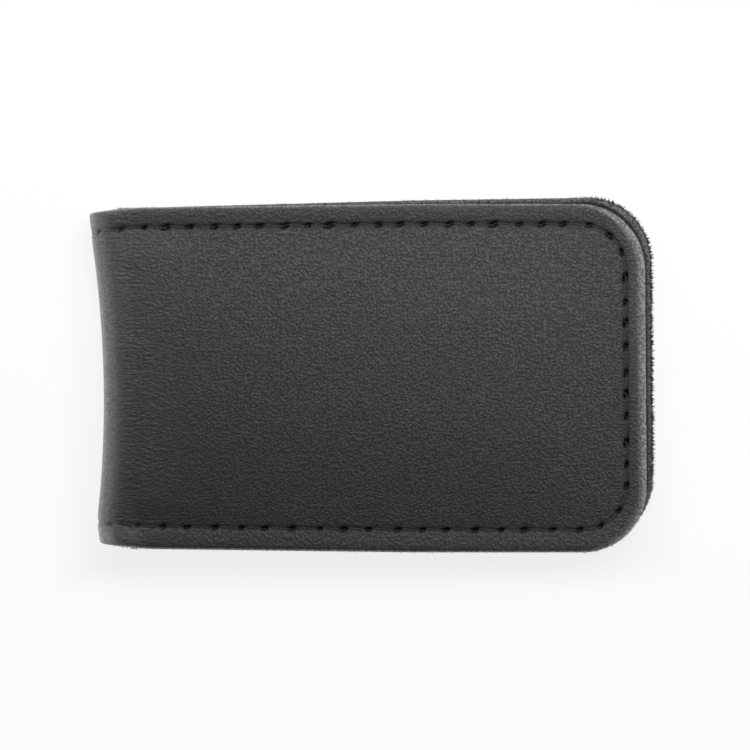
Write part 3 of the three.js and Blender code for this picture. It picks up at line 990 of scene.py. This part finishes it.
def grown(path, tree, values, name, material):
    """The plain mesh that a tree grows on a path, as a piece. The path is used up."""
    modifier = path.modifiers.new("grow", "NODES")
    modifier.node_group = tree
    for item in tree.interface.items_tree:
        if item.in_out == "INPUT" and item.name in values:
            modifier[item.identifier] = values[item.name]
    bpy.context.view_layer.update()
    graph = bpy.context.evaluated_depsgraph_get()
    mesh = bpy.data.meshes.new_from_object(path.evaluated_get(graph))
    path.modifiers.remove(modifier)
    bpy.data.objects.remove(path)
    mesh.name = name
    return finished(name, mesh, material)


def black_thread():
    material, tree, shader = new_finish("black_thread")
    fuzz = noise(tree, object_place(tree), THREAD_FUZZ, 3.0, 0.6)
    rubbed = 1 - ease(tree, attribute(tree, "along", "Fac"), *THREAD_RUBBED)
    plug(shader, {
        "Base Color": mix_colour(tree, ease(tree, fuzz, 0.4, 0.7), THREAD_BLACK, THREAD_WORN),
        "Roughness": 0.6 + 0.2 * fuzz,
        "Normal": bump(tree, 0.02 * fuzz),
        "Specular IOR Level": 0.45,
        "Coat Weight": 0.8 * rubbed,
        "Coat Roughness": WAX_ROUGHNESS,
        "Coat IOR": THREAD_WAX_IOR,
    })
    return material


thread = black_thread()
thread_tree = twisted_thread()
thread_sizes = {
    "Strand radius": STRAND_RADIUS * MM,
    "Lay radius": LAY_RADIUS * MM,
    "Twists per stitch": TWISTS,
    "Dip": STITCH_DIP * MM,
    "Slant": STITCH_SLANT * MM,
    "Material": thread,
}
thread_offset = {
    "needle": PLY_GAP / 2 + LEATHER + NEEDLE_SEAT,
    "bobbin": -(PLY_GAP / 2 + LINING + BOBBIN_SEAT),
}
for leaf in LEAF_UP:
    for kind, offset in thread_offset.items():
        path = seam_path(f"{kind}_path_{leaf}", leaf, offset)
        piece = grown(path, thread_tree, thread_sizes, f"{kind}_stitches_{leaf}", thread)
        bend_with_fold(piece)
        spine = [f"{kind}_thread_spine_{edge}" for edge in ("upper", "lower")]
        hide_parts(f"{kind}_thread_{leaf}", *spine)

# Loose fibres
# Where the suede and the flesh side of the leather are cut, short fibres of hide stand out of the
# edge. They are longest and thickest round the free ends, which are rubbed the most.
FIBRE_SPACING = 0.015
FIBRE_SHORT = 0.12
FIBRE_LONG = 0.62
FIBRE_SPREAD = 0.9
FIBRE_SLIM = 0.14
FIBRE_SIDES = 3
FIBRE_BOW = ((0, 0, 0), (0, 0, 0.6), (0.35, 0, 0.95))
FIBRE_ROOT = 0.04
FIBRES_LEAST = 0.12
FIBRES_BELOW = 0.3
FIBRES_ABOVE = (-18.0, -10.0)
FIBRES_AT_END = (24.0, 31.0)
FIBRES_BY_FOLD = 0.35
FIBRES_AT_FOLD = (29.0, 31.0)
FIBRE_SEED = 40
FIBRE_DARK = (0.012, 0.0125, 0.013, 1)
FIBRE_GREY = (0.06, 0.062, 0.062, 1)
FIBRE_TONES = 2500.0


def cut_edge(name, leaf):
    """The cut edge of a leaf's lining, with the ways out and up and how rubbed it is there."""
    end = LEAF_END[leaf]
    up = LEAF_UP[leaf]
    middle = -PLY_GAP / 2 - LINING / 2
    line = leaf_rings(end, [FIBRE_ROOT, 1.0], LINING_STEP)
    rim, inside = line.points(middle, up)
    rise = line.points(middle - 1, up)[0] - rim
    above = FIBRES_BELOW + (1 - FIBRES_BELOW) * smooth(line.y[0], *FIBRES_ABOVE)
    rubbed = FIBRES_LEAST + (1 - FIBRES_LEAST) * smooth(line.x[0], *FIBRES_AT_END) * above
    rubbed = rubbed + FIBRES_BY_FOLD * smooth(-line.x[0], *FIBRES_AT_FOLD)
    return edge_path(name, rim, {"out": rim - inside, "rise": rise}, {"rubbed": rubbed})


def edge_fibres():
    """Bent, tapering fibres that grow out of an edge in all directions."""
    tree, size = geometry_tree("edge_fibres", {
        "Spacing": "NodeSocketFloat",
        "Shortest": "NodeSocketFloat",
        "Longest": "NodeSocketFloat",
        "Spread": "NodeSocketFloat",
        "Edge thickness": "NodeSocketFloat",
        "Seed": "NodeSocketInt",
        "Material": "NodeSocketMaterial",
    })
    root, bend, tip = FIBRE_BOW
    bow = Wire.of(tree, "GeometryNodeCurveQuadraticBezier", None, {
        "Resolution": 3, "Start": root, "Middle": bend, "End": tip,
    })
    along = Wire.of(tree, "GeometryNodeSplineParameter")
    bow = Wire.of(tree, "GeometryNodeSetCurveRadius", None, {"Curve": bow, "Radius": 1.15 - along})
    section = Wire.of(
        tree, "GeometryNodeCurvePrimitiveCircle", {"mode": "RADIUS"},
        {"Resolution": FIBRE_SIDES, "Radius": FIBRE_SLIM},
    )
    fibre = Wire.of(tree, "GeometryNodeCurveToMesh", None, {
        "Curve": bow, "Profile Curve": section, "Scale": Wire.of(tree, "GeometryNodeInputRadius"),
        "Fill Caps": True,
    })
    line = Wire.of(tree, "GeometryNodeMeshToCurve", None, {0: size["Geometry"]})
    points = Wire.of(
        tree, "GeometryNodeCurveToPoints", {"mode": "LENGTH"},
        {"Curve": line, "Length": size["Spacing"]},
    )

    def chance(low, high, turn):
        return Wire.of(tree, "FunctionNodeRandomValue", {"data_type": "FLOAT"}, {
            2: low, 3: high, "Seed": size["Seed"] + turn,
        }, 1)

    stray = Wire.of(tree, "FunctionNodeRandomValue", {"data_type": "FLOAT_VECTOR"}, {
        0: (-1, -1, -1), 1: (1, 1, 1), "Seed": size["Seed"],
    })
    aim = Wire.of(tree, "ShaderNodeVectorMath", {"operation": "ADD"}, {
        0: named(tree, "out"), 1: scaled(tree, stray, size["Spread"]),
    })
    turn = Wire.of(tree, "FunctionNodeAlignRotationToVector", {"axis": "Z"}, {"Vector": aim})
    roll = Wire.of(tree, "FunctionNodeAxisAngleToRotation", None, {
        "Axis": (0, 0, 1), "Angle": chance(0.0, 2 * math.pi, 1),
    })
    turn = Wire.of(
        tree, "FunctionNodeRotateRotation", {"rotation_space": "LOCAL"}, {0: turn, 1: roll}
    )
    up_and_down = scaled(tree, named(tree, "rise"), chance(-0.5, 0.5, 2) * size["Edge thickness"])
    points = Wire.of(
        tree, "GeometryNodeSetPosition", None, {"Geometry": points, "Offset": up_and_down}
    )
    rubbed = named(tree, "rubbed", "FLOAT")
    tall = size["Shortest"] + (size["Longest"] - size["Shortest"]) * chance(0.0, 1.0, 3) ** 2
    kept = chance(0.0, 1.0, 4)
    kept = kept.math("LESS_THAN", kept, rubbed)
    grown_fibres = Wire.of(tree, "GeometryNodeInstanceOnPoints", None, {
        "Points": points, "Selection": kept, "Instance": fibre, "Rotation": turn,
        "Scale": tall * (0.4 + 0.6 * rubbed),
    })
    end_tree(tree, grown_fibres, size["Material"])
    return tree


def hide_fibre():
    material, tree, shader = new_finish("hide_fibre")
    tone = noise(tree, object_place(tree), FIBRE_TONES)
    plug(shader, {
        "Base Color": mix_colour(tree, ease(tree, tone, 0.45, 0.7), FIBRE_DARK, FIBRE_GREY),
        "Roughness": 0.8,
    })
    return material


hide = hide_fibre()
fibre_tree = edge_fibres()
fibre_sizes = {
    "Spacing": FIBRE_SPACING * MM,
    "Shortest": FIBRE_SHORT * MM,
    "Longest": FIBRE_LONG * MM,
    "Spread": FIBRE_SPREAD,
    "Edge thickness": LINING * MM,
    "Material": hide,
}
for number, leaf in enumerate(LEAF_UP):
    path = cut_edge(f"cut_edge_{leaf}", leaf)
    sizes = fibre_sizes | {"Seed": FIBRE_SEED + 10 * number}
    piece = grown(path, fibre_tree, sizes, f"edge_fibres_{leaf}", hide)
    bend_with_fold(piece)

# Studio
# The clip lies on a white table under soft daylight from its upper long side, and the camera looks
# straight down on it.
VIEW_WIDTH = 93.75
VIEW_HEIGHT = 800.0
VIEW_CENTRE = (0.44, 0.17)
VIEW_ROLL = math.radians(-0.43)
SENSOR = 36.0
WINDOW_PLACE = Vector((0.010, 0.06, 0.09))
WINDOW_AIM = Vector((0, 0.022, 0))
WINDOW_SIZE = (0.26, 0.05)
WINDOW_POWER = 0.096
WINDOW_SPREAD = math.radians(110)
PAPER = (0.95, 0.95, 0.95, 1)
WHITE = (1, 1, 1, 1)
GLOW_NEAR = 0.82
PAINTED_GLOW_AWAY = 0.11
GLOW_FROM = (LENGTH / 2 * MM, 22 * MM)
PAINTED_GLOW_REACH = (0.5 * MM, 6 * MM)
TABLE = 3.0
TENT_POWER = 3.6
TENT_WALLS = (-0.1, 0.55)
TENT_ALL = 0.28
TENT_UPPER = 0.02
TENT_LEFT = 0.2
TENT_ENDS = 0.85

camera = placed("camera", bpy.data.cameras.new("camera"))
camera.data.sensor_width = SENSOR
camera.data.lens = SENSOR * VIEW_HEIGHT / VIEW_WIDTH
camera.data.clip_start = 0.01
camera.location = Vector((*VIEW_CENTRE, MIDDLE_Z + VIEW_HEIGHT)) * MM
camera.rotation_euler = (0, 0, VIEW_ROLL)
bpy.context.scene.camera = camera

lamp = bpy.data.lights.new("window", "AREA")
lamp.shape = "RECTANGLE"
lamp.size, lamp.size_y = WINDOW_SIZE
lamp.energy = WINDOW_POWER
lamp.spread = WINDOW_SPREAD
window = placed("window", lamp)
window.location = WINDOW_PLACE
window.rotation_euler = (WINDOW_AIM - WINDOW_PLACE).to_track_quat("-Z", "Y").to_euler()
window.visible_camera = False


def white_table():
    """White paper that glows for the eye, more away from the clip as painted light, and keeps a
    faint shadow.
    """
    material, tree, shader = new_finish("white_table")
    ray = tree.nodes.new("ShaderNodeLightPath")
    seen = Wire(ray.outputs["Is Camera Ray"]) + Wire(ray.outputs["Is Glossy Ray"])
    seen = seen + Wire(ray.outputs["Is Transmission Ray"])
    plug(shader, {"Base Color": PAPER, "Roughness": 0.9, "Specular IOR Level": 0.1})
    glow = Wire.of(tree, "ShaderNodeEmission", None, {"Color": WHITE, "Strength": 1.0})
    x, y, _ = parts_of(tree, object_place(tree))
    # Painted light: the table glows more away from the clip than near it.
    away = x.math("ABSOLUTE", x) - GLOW_FROM[0]
    away = away.math("MAXIMUM", away, y.math("ABSOLUTE", y) - GLOW_FROM[1])
    bright = GLOW_NEAR + PAINTED_GLOW_AWAY * ease(tree, away, *PAINTED_GLOW_REACH)
    share = seen.math("MINIMUM", seen, 1.0) * bright
    blend = Wire.of(
        tree, "ShaderNodeMixShader", None, {0: share, 1: Wire(shader.outputs[0]), 2: glow}
    )
    plug(tree.nodes["Material Output"], {"Surface": blend})
    return material


table_mesh = bpy.data.meshes.new("table")
corners = [(-TABLE, -TABLE, 0), (TABLE, -TABLE, 0), (TABLE, TABLE, 0), (-TABLE, TABLE, 0)]
table_mesh.from_pydata(corners, [], [(0, 1, 2, 3)])
table_mesh.materials.append(white_table())
table = placed("table", table_mesh)

world = bpy.data.worlds.new("light_tent")
world.use_nodes = True
tent = world.node_tree
towards = parts_of(tent, Wire.of(tent, "ShaderNodeTexCoord", None, None, "Generated"))
walls = 1 - ease(tent, towards[2], *TENT_WALLS)
lit = TENT_ALL + TENT_UPPER * towards[1] - TENT_LEFT * towards[0]
lit = lit + TENT_ENDS * towards[0] ** 2
plug(tent.nodes["Background"], {"Color": WHITE, "Strength": TENT_POWER * walls * lit})
bpy.context.scene.world = world
bpy.context.scene.view_settings.view_transform = "Standard"
